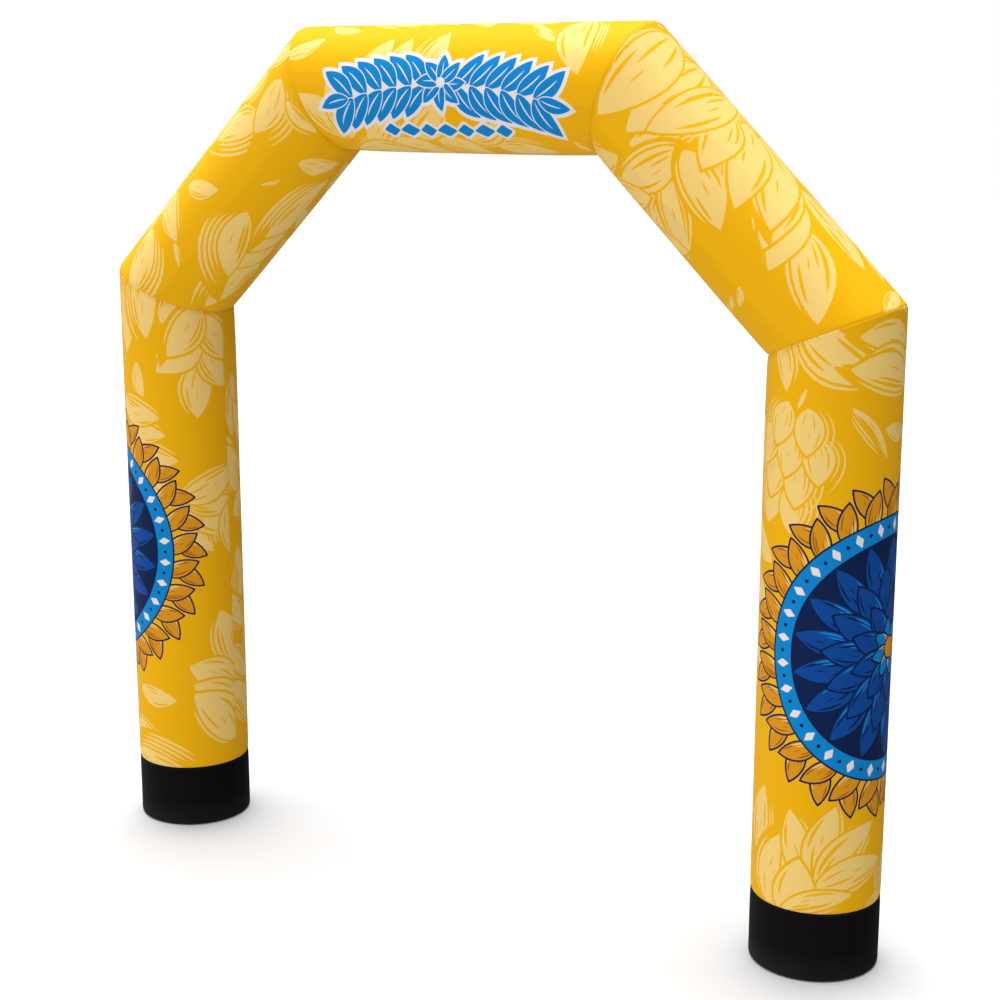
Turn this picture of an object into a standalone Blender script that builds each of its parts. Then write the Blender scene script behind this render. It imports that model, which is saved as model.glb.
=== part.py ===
"""Inflatable entrance arch: air-filled cloth tubes sewn end to end at mitred seams.

Units are metres and +Z is up. The origin lies on the ground, midway between the two
legs. X runs across the passage, from the left leg to the right one, and the front
faces -Y. Every panel is one closed, air-filled cloth tube, and meets the next panel
flat on the plane of the seam between them.
"""

import math
from collections import namedtuple

import bmesh
import bpy
from mathutils import Vector

# Driving sizes
LEG_SPACING = 4.30
TUBE_RADIUS = 0.35
KNEE_HEIGHT = 3.43
DIAGONAL_RISE = 1.195
FOOT_HEIGHT = 0.39
SOLE_EDGE = 0.020
SEAM_GAP = 0.0003

# Places that follow from them, as distances from the middle of the ground line
LEG_X = LEG_SPACING / 2
SHOULDER_X = LEG_X - DIAGONAL_RISE
BEAM_HEIGHT = KNEE_HEIGHT + DIAGONAL_RISE

# Fineness of the solids
SIDES = 48
LONGEST_SPAN = 0.55
SMOOTH_ANGLE = math.radians(35)

# How the cloth is drawn in beside a seam, and where rings of points lie from it
SeamKind = namedtuple("SeamKind", "draw_in reach rings")
SOLE = SeamKind(0.0, 1.0, tuple(SOLE_EDGE * k for k in (0.0, 0.13, 0.5, 1.0)))
BAND = SeamKind(0.003, 0.025, (0.0, 0.015, 0.05))
MITRE = SeamKind(0.008, 0.035, (0.0, 0.018, 0.045, 0.09, 0.16, 0.27))

# The seams in order along the arch, from the left sole over the top to the right one
Seam = namedtuple("Seam", "name kind x z")
SEAMS = (
    Seam("sole_left", SOLE, -LEG_X, 0.0),
    Seam("band_left", BAND, -LEG_X, FOOT_HEIGHT),
    Seam("knee_left", MITRE, -LEG_X, KNEE_HEIGHT),
    Seam("shoulder_left", MITRE, -SHOULDER_X, BEAM_HEIGHT),
    Seam("shoulder_right", MITRE, SHOULDER_X, BEAM_HEIGHT),
    Seam("knee_right", MITRE, LEG_X, KNEE_HEIGHT),
    Seam("band_right", BAND, LEG_X, FOOT_HEIGHT),
    Seam("sole_right", SOLE, LEG_X, 0.0),
)

# The panel that fills each span between two seams, in the same order
Panel = namedtuple("Panel", "name cloth")
PANELS = (
    Panel("foot_left", "black_cloth"),
    Panel("leg_left", "printed_cloth"),
    Panel("diagonal_left", "printed_cloth"),
    Panel("beam", "printed_cloth"),
    Panel("diagonal_right", "printed_cloth"),
    Panel("leg_right", "printed_cloth"),
    Panel("foot_right", "black_cloth"),
)

# Soft creases that run out of the mitred seams. The angle goes round a tube from its
# outer side (0) over the front (90) to the passage side (180) and the back (270).
# The reaches are the lengths over which a crease fades, before and after its seam.
Crease = namedtuple("Crease", "seam angle depth half_width before after")
CREASES = (
    Crease("knee_left", 122, 0.004, 10, 0.10, 0.07),
    Crease("knee_left", 157, 0.009, 11, 0.13, 0.20),
    Crease("knee_left", 187, 0.010, 12, 0.11, 0.15),
    Crease("knee_left", 216, 0.007, 11, 0.17, 0.12),
    Crease("knee_left", 251, 0.004, 10, 0.08, 0.10),
    Crease("shoulder_left", 112, 0.004, 11, 0.08, 0.09),
    Crease("shoulder_left", 150, 0.008, 11, 0.18, 0.12),
    Crease("shoulder_left", 178, 0.010, 12, 0.12, 0.14),
    Crease("shoulder_left", 211, 0.008, 11, 0.13, 0.19),
    Crease("shoulder_left", 246, 0.004, 10, 0.09, 0.08),
    Crease("shoulder_right", 116, 0.004, 10, 0.09, 0.08),
    Crease("shoulder_right", 146, 0.007, 11, 0.13, 0.17),
    Crease("shoulder_right", 175, 0.010, 12, 0.14, 0.12),
    Crease("shoulder_right", 207, 0.008, 11, 0.19, 0.12),
    Crease("shoulder_right", 243, 0.004, 11, 0.08, 0.10),
    Crease("knee_right", 119, 0.004, 11, 0.08, 0.10),
    Crease("knee_right", 153, 0.008, 11, 0.18, 0.13),
    Crease("knee_right", 181, 0.010, 12, 0.14, 0.12),
    Crease("knee_right", 213, 0.007, 11, 0.12, 0.17),
    Crease("knee_right", 248, 0.004, 10, 0.10, 0.08),
)

# Colour, roughness and metallic value of each cloth
CLOTHS = {
    "printed_cloth": ((0.84, 0.45, 0.01), 0.62, 0.0),
    "black_cloth": ((0.008, 0.008, 0.009), 0.70, 0.0),
}

FRONT = Vector((0.0, -1.0, 0.0))


def clear_scene():
    """Remove what the new file came with, and every material."""
    for old in list(bpy.data.objects):
        bpy.data.objects.remove(old, do_unlink=True)
    for old in list(bpy.data.materials):
        bpy.data.materials.remove(old)


def make_collection(name):
    """Return a new collection in the scene."""
    collection = bpy.data.collections.new(name)
    bpy.context.scene.collection.children.link(collection)
    return collection


def make_cloth(name):
    """Return the material of one cloth."""
    colour, roughness, metallic = CLOTHS[name]
    material = bpy.data.materials.new(name)
    material.use_nodes = True
    shader = material.node_tree.nodes["Principled BSDF"]
    shader.inputs["Base Color"].default_value = (*colour, 1.0)
    shader.inputs["Roughness"].default_value = roughness
    shader.inputs["Metallic"].default_value = metallic
    material.diffuse_color = (*colour, 1.0)
    return material


def seam_point(index):
    """Return where the tubes' axis passes the seam."""
    return Vector((SEAMS[index].x, 0.0, SEAMS[index].z))


def run_direction(index):
    """Return the direction of the axis from one seam to the next."""
    return (seam_point(index + 1) - seam_point(index)).normalized()


def seam_normal(index):
    """Return the normal of a seam's plane, which halves the angle between its tubes."""
    before = run_direction(max(index - 1, 0))
    after = run_direction(min(index, len(SEAMS) - 2))
    return (before + after).normalized()


def crease_depth(seam, angle, distance, comes_after):
    """Return how far a seam's creases draw the cloth in at one point.

    angle is in degrees round the tube and distance is measured from the seam. The
    point lies on the tube after the seam, or else on the one before it.
    """
    depth = 0.0
    for crease in CREASES:
        if crease.seam != seam.name:
            continue
        away = (angle - crease.angle + 180.0) % 360.0 - 180.0
        reach = crease.after if comes_after else crease.before
        valley = math.exp(-((away / crease.half_width) ** 2))
        depth += crease.depth * valley * math.exp(-distance / reach)
    return depth


def drawn_in(seam, angle, distance, comes_after):
    """Return how much less than the tube's radius the cloth has near one seam."""
    if seam.kind is SOLE:
        short = max(SOLE_EDGE - distance, 0.0)
        return SOLE_EDGE - math.sqrt(SOLE_EDGE**2 - short**2)
    even = seam.kind.draw_in * math.exp(-distance / seam.kind.reach)
    return even + crease_depth(seam, angle, distance, comes_after)


def seam_distance(span, at_end, outward, radius):
    """Return how far along its axis a tube's line of cloth meets the seam's plane.

    span is the tube's place in PANELS, outward the direction from the axis to the
    cloth, and radius the distance between them at the seam.
    """
    index = span + 1 if at_end else span
    direction = run_direction(span)
    normal = seam_normal(index)
    sewn = 0 < index < len(SEAMS) - 1
    clearance = SEAM_GAP / 2 if sewn else 0.0
    plane_point = seam_point(index) + normal * (-clearance if at_end else clearance)
    to_plane = (plane_point - seam_point(span) - outward * radius).dot(normal)
    return to_plane / direction.dot(normal)


def ring_places(span):
    """Return the rings of a tube as (distance from start, distance from end, share).

    A ring near a seam has its distance from that seam and None for the rest. The
    others have the share of the middle stretch that lies before them.
    """
    near_start = SEAMS[span].kind.rings
    near_end = SEAMS[span + 1].kind.rings
    length = (seam_point(span + 1) - seam_point(span)).length
    middle = length - near_start[-1] - near_end[-1]
    parts = max(1, math.ceil(middle / LONGEST_SPAN))
    rings = [(distance, None, None) for distance in near_start]
    rings += [(None, None, step / parts) for step in range(1, parts)]
    rings += [(None, distance, None) for distance in reversed(near_end)]
    return rings


def cloth_point(span, ring, angle):
    """Return the place of the cloth at one ring and one angle, in radians."""
    direction = run_direction(span)
    outward_side = Vector((-direction.z, 0.0, direction.x))
    outward = outward_side * math.cos(angle) + FRONT * math.sin(angle)
    degrees = math.degrees(angle)
    first, last = SEAMS[span], SEAMS[span + 1]

    first_radius = TUBE_RADIUS - drawn_in(first, degrees, 0.0, True)
    last_radius = TUBE_RADIUS - drawn_in(last, degrees, 0.0, False)
    start = seam_distance(span, False, outward, first_radius)
    end = seam_distance(span, True, outward, last_radius)

    from_start, from_end, share = ring
    if from_start is not None:
        along = start + from_start
    elif from_end is not None:
        along = end - from_end
    else:
        low = start + first.kind.rings[-1]
        high = end - last.kind.rings[-1]
        along = low + (high - low) * share

    radius = TUBE_RADIUS
    radius -= drawn_in(first, degrees, along - start, True)
    radius -= drawn_in(last, degrees, end - along, False)
    return seam_point(span) + direction * along + outward * radius


def make_tube(span, collection, material):
    """Build the closed tube of one panel from a cylinder cut into rings."""
    rings = ring_places(span)
    steps = len(rings) - 1
    mesh_data = bmesh.new()
    bmesh.ops.create_cone(
        mesh_data, cap_ends=True, segments=SIDES, radius1=1.0, radius2=1.0, depth=steps
    )
    for step in range(1, steps):
        bmesh.ops.bisect_plane(
            mesh_data,
            geom=mesh_data.verts[:] + mesh_data.edges[:] + mesh_data.faces[:],
            plane_co=(0.0, 0.0, step - steps / 2),
            plane_no=(0.0, 0.0, 1.0),
        )
    for point in mesh_data.verts:
        ring = rings[round(point.co.z + steps / 2)]
        angle = math.atan2(point.co.y, point.co.x)
        point.co = cloth_point(span, ring, angle)

    name = PANELS[span].name
    mesh = bpy.data.meshes.new(name)
    mesh_data.to_mesh(mesh)
    mesh_data.free()
    mesh.shade_smooth()
    mesh.set_sharp_from_angle(angle=SMOOTH_ANGLE)
    mesh.materials.append(material)
    tube = bpy.data.objects.new(name, mesh)
    collection.objects.link(tube)
    return tube


def main():
    """Build the whole arch."""
    clear_scene()
    collection = make_collection("inflatable_arch")
    cloths = {name: make_cloth(name) for name in CLOTHS}
    for span, panel in enumerate(PANELS):
        make_tube(span, collection, cloths[panel.cloth])


main()
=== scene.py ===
"""Dresses the inflatable arch: printed cloth tubes, black foot tubes and sewn seams.

Units are metres and +Z is up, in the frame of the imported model: X runs across the
passage, the front faces -Y and the ground is z = 0. Each cloth tube is drawn as a flat
pattern first, with the print's shapes cut into it, and is then rolled round its axis
and drawn in at its seams. On a pattern the first coordinate runs round the tube, from
its outer side (0) over the front (90 degrees) to the passage side (180 degrees), where
the long seam lies, and the second runs up the tube, or from left to right on the beam.
"""

from __future__ import annotations

import logging
import math
import random
from collections.abc import Iterable, Sequence
from dataclasses import dataclass, field, replace
from enum import Enum

import bpy
import numpy as np
from mathutils import Euler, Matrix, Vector
from mathutils.geometry import delaunay_2d_cdt


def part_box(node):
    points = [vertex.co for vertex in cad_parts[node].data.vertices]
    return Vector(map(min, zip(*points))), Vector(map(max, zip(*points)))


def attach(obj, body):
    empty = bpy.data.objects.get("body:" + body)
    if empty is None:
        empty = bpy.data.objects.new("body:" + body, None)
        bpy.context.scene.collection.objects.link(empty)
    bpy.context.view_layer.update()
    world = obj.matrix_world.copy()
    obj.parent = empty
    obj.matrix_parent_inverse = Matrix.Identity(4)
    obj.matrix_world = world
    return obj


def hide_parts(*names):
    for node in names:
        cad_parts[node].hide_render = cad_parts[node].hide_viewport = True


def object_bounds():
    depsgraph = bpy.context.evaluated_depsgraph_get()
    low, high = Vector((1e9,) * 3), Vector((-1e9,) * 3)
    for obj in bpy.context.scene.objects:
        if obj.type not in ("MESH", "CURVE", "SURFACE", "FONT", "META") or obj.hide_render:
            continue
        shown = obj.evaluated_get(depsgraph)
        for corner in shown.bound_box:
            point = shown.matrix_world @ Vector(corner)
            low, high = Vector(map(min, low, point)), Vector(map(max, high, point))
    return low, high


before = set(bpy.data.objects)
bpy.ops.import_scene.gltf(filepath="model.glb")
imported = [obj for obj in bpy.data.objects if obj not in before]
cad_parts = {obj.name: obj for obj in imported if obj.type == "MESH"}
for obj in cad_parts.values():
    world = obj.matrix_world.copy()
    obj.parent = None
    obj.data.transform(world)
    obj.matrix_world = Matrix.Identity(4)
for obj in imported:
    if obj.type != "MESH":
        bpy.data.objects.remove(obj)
CAD_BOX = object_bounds()
LOG = logging.getLogger("arch")

Pair = tuple[float, float]

# Sizes read from the frame: the tubes' radius and the heights of their corners
TUBE_RADIUS = (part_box("leg_left")[1].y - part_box("leg_left")[0].y) / 2
FOOT_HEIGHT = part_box("foot_left")[1].z
LEG_X = -(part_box("foot_left")[0].x + TUBE_RADIUS)
BEAM_HEIGHT = CAD_BOX[1].z - TUBE_RADIUS

# Sizes that the frame shows only through the mitres, as in the model
DIAGONAL_RISE = 1.195
SEAM_GAP = 0.0003
SOLE_EDGE = 0.020

SHOULDER_X = LEG_X - DIAGONAL_RISE
KNEE_HEIGHT = BEAM_HEIGHT - DIAGONAL_RISE
HALF_ROUND = math.pi * TUBE_RADIUS
FRONT = np.array([0.0, -1.0, 0.0])


# Seams and tubes


@dataclass(frozen=True)
class Crease:
    """A soft crease that runs out of a seam into the tubes on both sides of it."""

    angle: float
    depth: float
    half_width: float
    before: float
    after: float


# The ripples of a puckered seam: waves round the tube, share of the depth and phase
PUCKER_WAVES = ((47, 0.40, 0.3), (31, 0.35, 1.9), (73, 0.25, 4.1))
# How deep puckers are midway round, and how much shallower on the tube's outer side
PUCKER_MIDWAY = 0.55
PUCKER_LOSS = 0.45


@dataclass(frozen=True)
class SeamForm:
    """How cloth is drawn in beside one kind of seam."""

    draw_in: float = 0.0
    reach: float = 1.0
    valley: float = 0.0
    valley_reach: float = 1.0
    pucker: float = 0.0
    pucker_reach: float = 1.0
    rounded: float = 0.0


SOLE = SeamForm(rounded=SOLE_EDGE)
BAND = SeamForm(0.003, 0.025, 0.0022, 0.005, 0.0010, 0.030)
MITRE = SeamForm(0.0022, 0.016, 0.0028, 0.0055, 0.0016, 0.040)


@dataclass(frozen=True)
class Seam:
    """One seam of the arch: its form, the place of the axis there and its creases."""

    form: SeamForm
    x: float
    z: float
    creases: tuple[Crease, ...] = ()

    def point(self) -> np.ndarray:
        """Return where the axis passes the seam."""
        return np.array([self.x, 0.0, self.z])


KNEE_LEFT_CREASES = (
    Crease(122, 0.004, 10, 0.10, 0.07),
    Crease(157, 0.009, 11, 0.13, 0.20),
    Crease(187, 0.010, 12, 0.11, 0.15),
    Crease(216, 0.007, 11, 0.17, 0.12),
    Crease(251, 0.004, 10, 0.08, 0.10),
)
SHOULDER_LEFT_CREASES = (
    Crease(112, 0.004, 11, 0.08, 0.09),
    Crease(150, 0.008, 11, 0.18, 0.12),
    Crease(178, 0.010, 12, 0.12, 0.14),
    Crease(211, 0.008, 11, 0.13, 0.19),
    Crease(246, 0.004, 10, 0.09, 0.08),
)
SHOULDER_RIGHT_CREASES = (
    Crease(116, 0.004, 10, 0.09, 0.08),
    Crease(146, 0.007, 11, 0.13, 0.17),
    Crease(175, 0.010, 12, 0.14, 0.12),
    Crease(207, 0.008, 11, 0.19, 0.12),
    Crease(243, 0.004, 11, 0.08, 0.10),
)
KNEE_RIGHT_CREASES = (
    Crease(119, 0.004, 11, 0.08, 0.10),
    Crease(153, 0.008, 11, 0.18, 0.13),
    Crease(181, 0.010, 12, 0.14, 0.12),
    Crease(213, 0.007, 11, 0.12, 0.17),
    Crease(248, 0.004, 10, 0.10, 0.08),
)

# The seams in order, from the left sole over the top to the right sole
SEAMS = (
    Seam(SOLE, -LEG_X, 0.0),
    Seam(BAND, -LEG_X, FOOT_HEIGHT),
    Seam(MITRE, -LEG_X, KNEE_HEIGHT, KNEE_LEFT_CREASES),
    Seam(MITRE, -SHOULDER_X, BEAM_HEIGHT, SHOULDER_LEFT_CREASES),
    Seam(MITRE, SHOULDER_X, BEAM_HEIGHT, SHOULDER_RIGHT_CREASES),
    Seam(MITRE, LEG_X, KNEE_HEIGHT, KNEE_RIGHT_CREASES),
    Seam(BAND, LEG_X, FOOT_HEIGHT),
    Seam(SOLE, LEG_X, 0.0),
)


@dataclass(frozen=True)
class TubeEnd:
    """The end of a tube at a seam, with its cutting plane and the creases' reaches."""

    seam: Seam
    normal: np.ndarray
    comes_after: bool
    clearance: float

    def drawn_in(self, angle: np.ndarray, distance: np.ndarray) -> np.ndarray:
        """Return how far the cloth lies inside the tube's radius.

        Args:
            angle: Angles round the tube, in radians.
            distance: Distances from the seam, in metres.

        Returns:
            Depths in metres.
        """
        form = self.seam.form
        if form.rounded:
            short = np.clip(form.rounded - distance, 0.0, form.rounded)
            return form.rounded - np.sqrt(form.rounded**2 - short**2)
        depth = form.draw_in * np.exp(-distance / form.reach)
        depth = depth + form.valley * np.exp(-((distance / form.valley_reach) ** 2))
        for crease in self.seam.creases:
            away = (np.degrees(angle) - crease.angle + 180.0) % 360.0 - 180.0
            reach = crease.after if self.comes_after else crease.before
            valley = np.exp(-((away / crease.half_width) ** 2))
            depth = depth + crease.depth * valley * np.exp(-distance / reach)
        ripple = np.zeros_like(angle)
        for waves, share, phase in PUCKER_WAVES:
            ripple += share * (0.5 + 0.5 * np.cos(waves * angle + phase))
        inner = PUCKER_MIDWAY - PUCKER_LOSS * np.cos(angle)
        fade = np.exp(-distance / form.pucker_reach)
        return depth + form.pucker * ripple * inner * fade


@dataclass
class Tube:
    """One cloth tube between two seams, with its flat pattern's shape."""

    name: str
    low: int
    high: int
    long_seam_depth: float = 0.0022
    long_seam_width: float = 0.005
    gather_depth: float = 0.0009
    gather_pitch: float = 0.052
    gather_reach: float = 0.035
    gather_drift: float = 9.0
    normal_step: float = 2e-4
    origin: np.ndarray = field(init=False)
    axis: np.ndarray = field(init=False)
    outer: np.ndarray = field(init=False)
    ends: tuple[TubeEnd, TubeEnd] = field(init=False)

    def __post_init__(self) -> None:
        """Work out the tube's own directions and its two cutting planes."""
        self.origin = SEAMS[self.low].point()
        self.axis = unit(SEAMS[self.high].point() - self.origin)
        runs_on = self.high > self.low
        run = self.axis if runs_on else -self.axis
        self.outer = np.array([-run[2], 0.0, run[0]])
        self.ends = (self._end(self.low, runs_on), self._end(self.high, not runs_on))

    def _end(self, index: int, comes_after: bool) -> TubeEnd:
        """Return the tube's end at the seam with this index.

        Args:
            index: The seam's place in the row of seams.
            comes_after: Whether the tube follows the seam in that row.

        Returns:
            The end, whose cutting plane halves the bend.
        """
        last = len(SEAMS) - 1
        runs = [
            unit(SEAMS[high].point() - SEAMS[low].point())
            for low, high in ((index - 1, index), (index, index + 1))
            if low >= 0 and high <= last
        ]
        normal = unit(sum(runs))
        normal = normal * math.copysign(1.0, float(normal @ self.axis))
        sewn = 0 < index < last
        clearance = SEAM_GAP / 2 if sewn else 0.0
        return TubeEnd(SEAMS[index], normal, comes_after, clearance)

    @property
    def turned_over(self) -> bool:
        """Whether the pattern's two directions turn left-handed on this tube."""
        return float(np.cross(self.outer, FRONT) @ self.axis) < 0

    def outward(self, angle: np.ndarray) -> np.ndarray:
        """Return the directions from the axis to the cloth at these angles."""
        return np.outer(np.cos(angle), self.outer) + np.outer(np.sin(angle), FRONT)

    def _meets(self, end: int, outward: np.ndarray, radius: np.ndarray) -> np.ndarray:
        """Return how far along the axis the cloth meets an end's cutting plane.

        Args:
            end: 0 for the low end and 1 for the high one.
            outward: Directions from the axis, one a row.
            radius: The cloth's distance from the axis in each.

        Returns:
            Heights along the axis, in metres.
        """
        tube_end = self.ends[end]
        shift = tube_end.clearance if end == 0 else -tube_end.clearance
        plane = tube_end.seam.point() + tube_end.normal * shift - self.origin
        reach = plane @ tube_end.normal - (outward @ tube_end.normal) * radius
        return reach / float(self.axis @ tube_end.normal)

    def flat_end(self, end: int, around: np.ndarray) -> np.ndarray:
        """Return the pattern's edge curve at one end.

        Args:
            end: 0 for the low end and 1 for the high one.
            around: Places round the tube, in metres.

        Returns:
            Places along the tube, in metres.
        """
        radius = np.full_like(around, TUBE_RADIUS)
        return self._meets(end, self.outward(around / TUBE_RADIUS), radius)

    def roll(self, around: np.ndarray, along: np.ndarray) -> np.ndarray:
        """Roll points of the flat pattern round the axis.

        Args:
            around: Places round the tube, in metres.
            along: Places along the tube, in metres.

        Returns:
            Points in space, one row each.
        """
        angle = around / TUBE_RADIUS
        outward = self.outward(angle)
        none = np.zeros_like(angle)
        cloth = []
        for end in (0, 1):
            drawn = TUBE_RADIUS - self.ends[end].drawn_in(angle, none)
            cloth.append(self._meets(end, outward, drawn))
        flat = [self.flat_end(end, around) for end in (0, 1)]
        share = (along - flat[0]) / (flat[1] - flat[0])
        height = cloth[0] + share * (cloth[1] - cloth[0])
        radius = np.full_like(angle, TUBE_RADIUS)
        radius -= self.ends[0].drawn_in(angle, np.maximum(height - cloth[0], 0.0))
        radius -= self.ends[1].drawn_in(angle, np.maximum(cloth[1] - height, 0.0))
        from_seam = HALF_ROUND - np.abs(around)
        line = np.exp(-((from_seam / self.long_seam_width) ** 2))
        drift = np.sin(along * self.gather_drift)
        gather = 0.5 + 0.5 * np.sin(2 * math.pi * along / self.gather_pitch + drift)
        near = np.exp(-from_seam / self.gather_reach)
        radius -= self.long_seam_depth * line + self.gather_depth * gather * near
        return self.origin + np.outer(height, self.axis) + outward * radius[:, None]

    def normals(self, around: np.ndarray, along: np.ndarray) -> np.ndarray:
        """Return the cloth's outward normals at points of the pattern.

        Args:
            around: Places round the tube, in metres.
            along: Places along the tube, in metres.

        Returns:
            Directions of length 1, one a row.
        """
        step = self.normal_step
        across = self.roll(around + step, along) - self.roll(around - step, along)
        up = self.roll(around, along + step) - self.roll(around, along - step)
        normal = np.cross(across, up)
        if self.turned_over:
            normal = -normal
        return normal / np.linalg.norm(normal, axis=1, keepdims=True)


def unit(vector: np.ndarray) -> np.ndarray:
    """Return the vector at length 1."""
    return vector / np.linalg.norm(vector)


# Print


class Ink(Enum):
    """The inks of the print, as linear colours."""

    GOLD = (0.860, 0.442, 0.003)
    PALE = (0.900, 0.620, 0.190)
    NAVY = (0.003, 0.014, 0.070)
    BLUE = (0.003, 0.062, 0.300)
    SKY = (0.003, 0.225, 0.590)
    STRAW = (0.700, 0.290, 0.010)
    RUST = (0.360, 0.110, 0.003)
    WHITE = (0.820, 0.750, 0.750)
    BLACK = (0.003, 0.002, 0.003)


@dataclass(frozen=True)
class LeafInks:
    """The inks of one leaf: its face, the gap cut round it, its cuts and its echoes."""

    face: Ink = Ink.PALE
    gap: Ink = Ink.GOLD
    cut: Ink = Ink.GOLD
    echo: Ink | None = Ink.PALE
    light: Ink | None = None
    midrib: bool = False


PALE_LEAF = LeafInks()
PALE_SCALE = LeafInks(echo=None)
BLUE_PETAL = LeafInks(Ink.BLUE, Ink.NAVY, Ink.NAVY, None, Ink.SKY)
SKY_PETAL = LeafInks(Ink.SKY, Ink.NAVY, Ink.NAVY, None, Ink.PALE)
STRAW_LEAF = LeafInks(Ink.STRAW, Ink.NAVY, Ink.RUST, None, Ink.PALE)
FRIEZE_LEAF = LeafInks(Ink.SKY, Ink.WHITE, Ink.WHITE, None, None, True)


class Sides(Enum):
    """The sides of its stem on which a garland has leaves, seen along it on the pattern."""

    BOTH = (1, -1)
    RIGHT = (1,)
    LEFT = (-1,)


@dataclass(frozen=True)
class Cut:
    """One stroke in a leaf, along its length between two shares, at a share of its width."""

    start: float
    end: float
    side: float
    weight: float


@dataclass(frozen=True)
class EchoForm:
    """How echo lines follow one another, how heavy they are and where they end."""

    step: float
    weight: float
    end: float


CHANCE_ECHOES = EchoForm(0.019, 0.028, 0.70)
CHOSEN_ECHOES = EchoForm(0.030, 0.040, 0.86)

CUT_SETS = (
    (
        Cut(0.12, 0.60, 0.72, 1.0),
        Cut(0.16, 0.46, 0.40, 0.7),
        Cut(0.42, 0.60, -0.06, 0.45),
        Cut(0.52, 0.88, -0.70, 0.8),
    ),
    (
        Cut(0.10, 0.54, -0.70, 0.9),
        Cut(0.24, 0.56, -0.34, 0.6),
        Cut(0.12, 0.32, 0.16, 0.5),
        Cut(0.40, 0.84, 0.68, 0.9),
    ),
    (
        Cut(0.08, 0.72, 0.60, 1.0),
        Cut(0.14, 0.44, 0.22, 0.6),
        Cut(0.30, 0.46, -0.20, 0.4),
        Cut(0.34, 0.80, -0.66, 0.8),
    ),
    (
        Cut(0.10, 0.80, -0.72, 1.0),
        Cut(0.14, 0.66, -0.44, 0.8),
        Cut(0.32, 0.50, 0.22, 0.45),
    ),
    (
        Cut(0.08, 0.40, -0.40, 0.6),
        Cut(0.08, 0.52, 0.36, 0.7),
        Cut(0.50, 0.66, 0.02, 0.4),
        Cut(0.42, 0.86, 0.70, 0.8),
    ),
)


@dataclass(frozen=True)
class Leaf:
    """A printed leaf. Its base is (degrees round the tube, metres along it).

    Echoes are lines beside it: how many, on the side that their sign gives, or 0 for
    a large leaf's own chance ones.
    """

    base: Pair
    heading: float
    length: float
    width: float = 0.40
    bend: float = 0.06
    inks: LeafInks = PALE_LEAF
    echoes: int = 0

    RISE = 0.74
    FALL = 0.90
    SHARES = 0.5 - 0.5 * np.cos(np.linspace(0.0, math.pi, 13))

    def line(self, shares: np.ndarray, side: float, grow: float = 0.0) -> np.ndarray:
        """Return a line along the leaf.

        Args:
            shares: Shares of the leaf's length.
            side: The line's place as a share of the half width, with its sign.
            grow: How far the leaf is grown first, in metres.

        Returns:
            Points on the pattern, one a row.
        """
        peak = self.RISE / (self.RISE + self.FALL)
        held = np.clip(shares, 0, 1)
        full = (held / peak) ** self.RISE * ((1 - held) / (1 - peak)) ** self.FALL
        wide = full * (self.length * self.width / 2 + grow) * side
        wide += self.bend * self.length * np.sin(math.pi * shares)
        reach = shares * (self.length + 2.6 * grow) - grow
        ahead, aside = compass(self.heading)
        return flat(self.base) + np.outer(reach, ahead) + np.outer(wide, aside)

    def outline(self, side: float, grow: float, other: float) -> np.ndarray:
        """Return the leaf's outline, grown so far on one side and so far on the other."""
        first = self.line(self.SHARES, side, grow)
        return np.concatenate([first, self.line(self.SHARES[-2:0:-1], -side, other)])


@dataclass(frozen=True)
class Garland:
    """Leaves along a curved stem, given by its start, middle and end."""

    start: Pair
    middle: Pair
    end: Pair
    leaves: int = 7
    length: float = 0.34
    width: float = 0.50
    spread: float = 42.0
    sides: Sides = Sides.BOTH
    echoes: int = 0


@dataclass(frozen=True)
class Fan:
    """Leaves that spread from one place, the last over the first."""

    base: Pair
    first: float
    last: float
    leaves: int
    length: float
    width: float = 0.40
    echoes: int = 0


@dataclass(frozen=True)
class Cone:
    """A ripe seed cone of overlapping scales, from its stem down."""

    stem: Pair
    heading: float
    length: float
    width: float
    rows: tuple[int, ...] = (2, 3, 2, 2)
    reach: float = 0.66
    apart: float = 0.27
    scale_length: float = 0.40
    scale_gain: float = 0.04
    scale_width: float = 0.66
    splay: float = 17.0
    splay_loss: float = 6.0


Motif = Leaf | Garland | Fan | Cone


STROKE_TAPER = 0.6


def flat(place: Pair) -> np.ndarray:
    """Return a place given in degrees and metres as metres on the pattern."""
    return np.array([math.radians(place[0]) * TUBE_RADIUS, place[1]])


def unflat(point: np.ndarray) -> Pair:
    """Return a point of the pattern in degrees round the tube and metres along it."""
    return math.degrees(point[0] / TUBE_RADIUS), float(point[1])


def direction(heading: float) -> np.ndarray:
    """Return a heading's direction on the pattern: 0 is along the tube, 90 round it."""
    return np.array([math.sin(math.radians(heading)), math.cos(math.radians(heading))])


def compass(heading: float) -> tuple[np.ndarray, np.ndarray]:
    """Return a heading's direction on the pattern and the direction to its right."""
    ahead = direction(heading)
    return ahead, np.array([ahead[1], -ahead[0]])


def paired(first: np.ndarray, second: np.ndarray) -> np.ndarray:
    """Return points with these first and second coordinates, one a row."""
    return np.stack([first, second], axis=1)


def stroke(line: np.ndarray, weight: float) -> np.ndarray:
    """Return the outline of a stroke that swells along a line and tapers at both ends.

    Args:
        line: The stroke's middle line, one point a row.
        weight: Its greatest width.

    Returns:
        The outline, one point a row.
    """
    along = np.gradient(line, axis=0)
    along /= np.linalg.norm(along, axis=1, keepdims=True)
    across = paired(-along[:, 1], along[:, 0])
    share = np.linspace(0.0, 1.0, len(line))
    half = 0.5 * weight * np.sin(math.pi * share) ** STROKE_TAPER
    half = half[:, None]
    left = (line + across * half)[:-1]
    right = (line - across * half)[:0:-1]
    return np.concatenate([left, right])


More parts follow.
